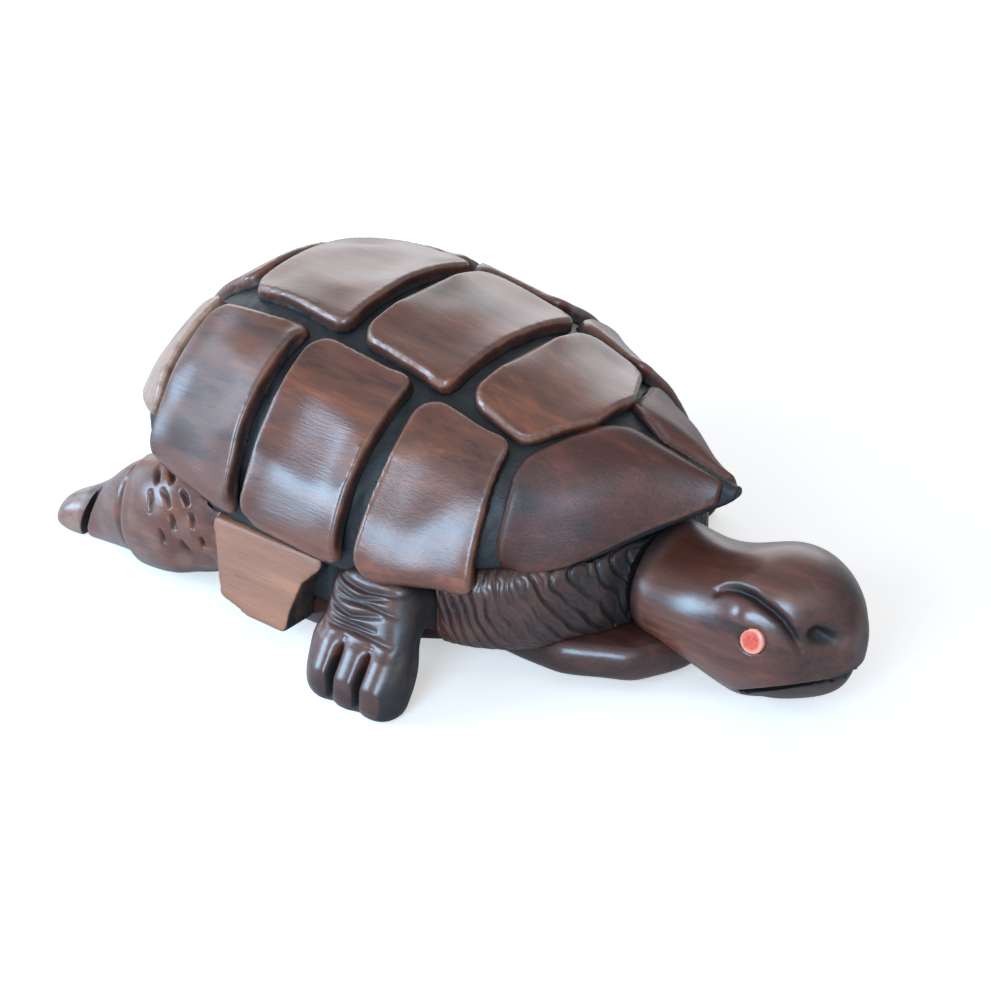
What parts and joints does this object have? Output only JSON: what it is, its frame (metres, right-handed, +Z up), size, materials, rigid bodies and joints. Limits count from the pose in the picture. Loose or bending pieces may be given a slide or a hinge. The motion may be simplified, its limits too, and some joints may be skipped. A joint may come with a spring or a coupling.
{
  "type": "turtle figurine",
  "caption": "Carved hardwood turtle figurine with raised dished shell plates above dark grooves, gouged legs and neck, a smooth head with inlaid eyes, standing on its feet",
  "frame": {"origin": "on the ground below the middle of the figure's overall box", "axes": "+X is the way the turtle faces, +Y is its left, +Z is up"},
  "size_m": [0.1704, 0.109, 0.0619],
  "materials": {
    "plate_wood": "satin lacquered, polished dished faces with lighter worn edges",
    "body_wood": "satin lacquered, gouge-cut on neck and legs, smooth on head and belly",
    "bridge_wood": "satin lacquered, paler sapwood",
    "groove_wood": "matt, stained near black",
    "eye_inlay": "polished coral-coloured inlay"
  },
  "bodies": {
    "root": {"shell_core": "groove_wood", "vertebral_scute_front": "plate_wood", "vertebral_scute_middle": "plate_wood", "vertebral_scute_rear": "plate_wood", "vertebral_scute_tail": "plate_wood", "right_costal_scute_front": "plate_wood", "right_costal_scute_middle": "plate_wood", "right_costal_scute_rear": "plate_wood", "right_front_marginal_scute": "plate_wood", "right_rear_marginal_scute": "plate_wood", "left_costal_scute_front": "plate_wood", "left_costal_scute_middle": "plate_wood", "left_costal_scute_rear": "plate_wood", "left_front_marginal_scute": "plate_wood", "left_rear_marginal_scute": "plate_wood", "torso": "body_wood", "plastron": "body_wood", "neck": "body_wood", "head": "body_wood", "tail": "body_wood", "right_foreleg": "body_wood", "right_hind_leg": "body_wood", "left_foreleg": "body_wood", "left_hind_leg": "body_wood", "right_bridge_plate": "bridge_wood", "left_bridge_plate": "bridge_wood", "right_eye": "eye_inlay", "left_eye": "eye_inlay"}
  },
  "joints": []
}
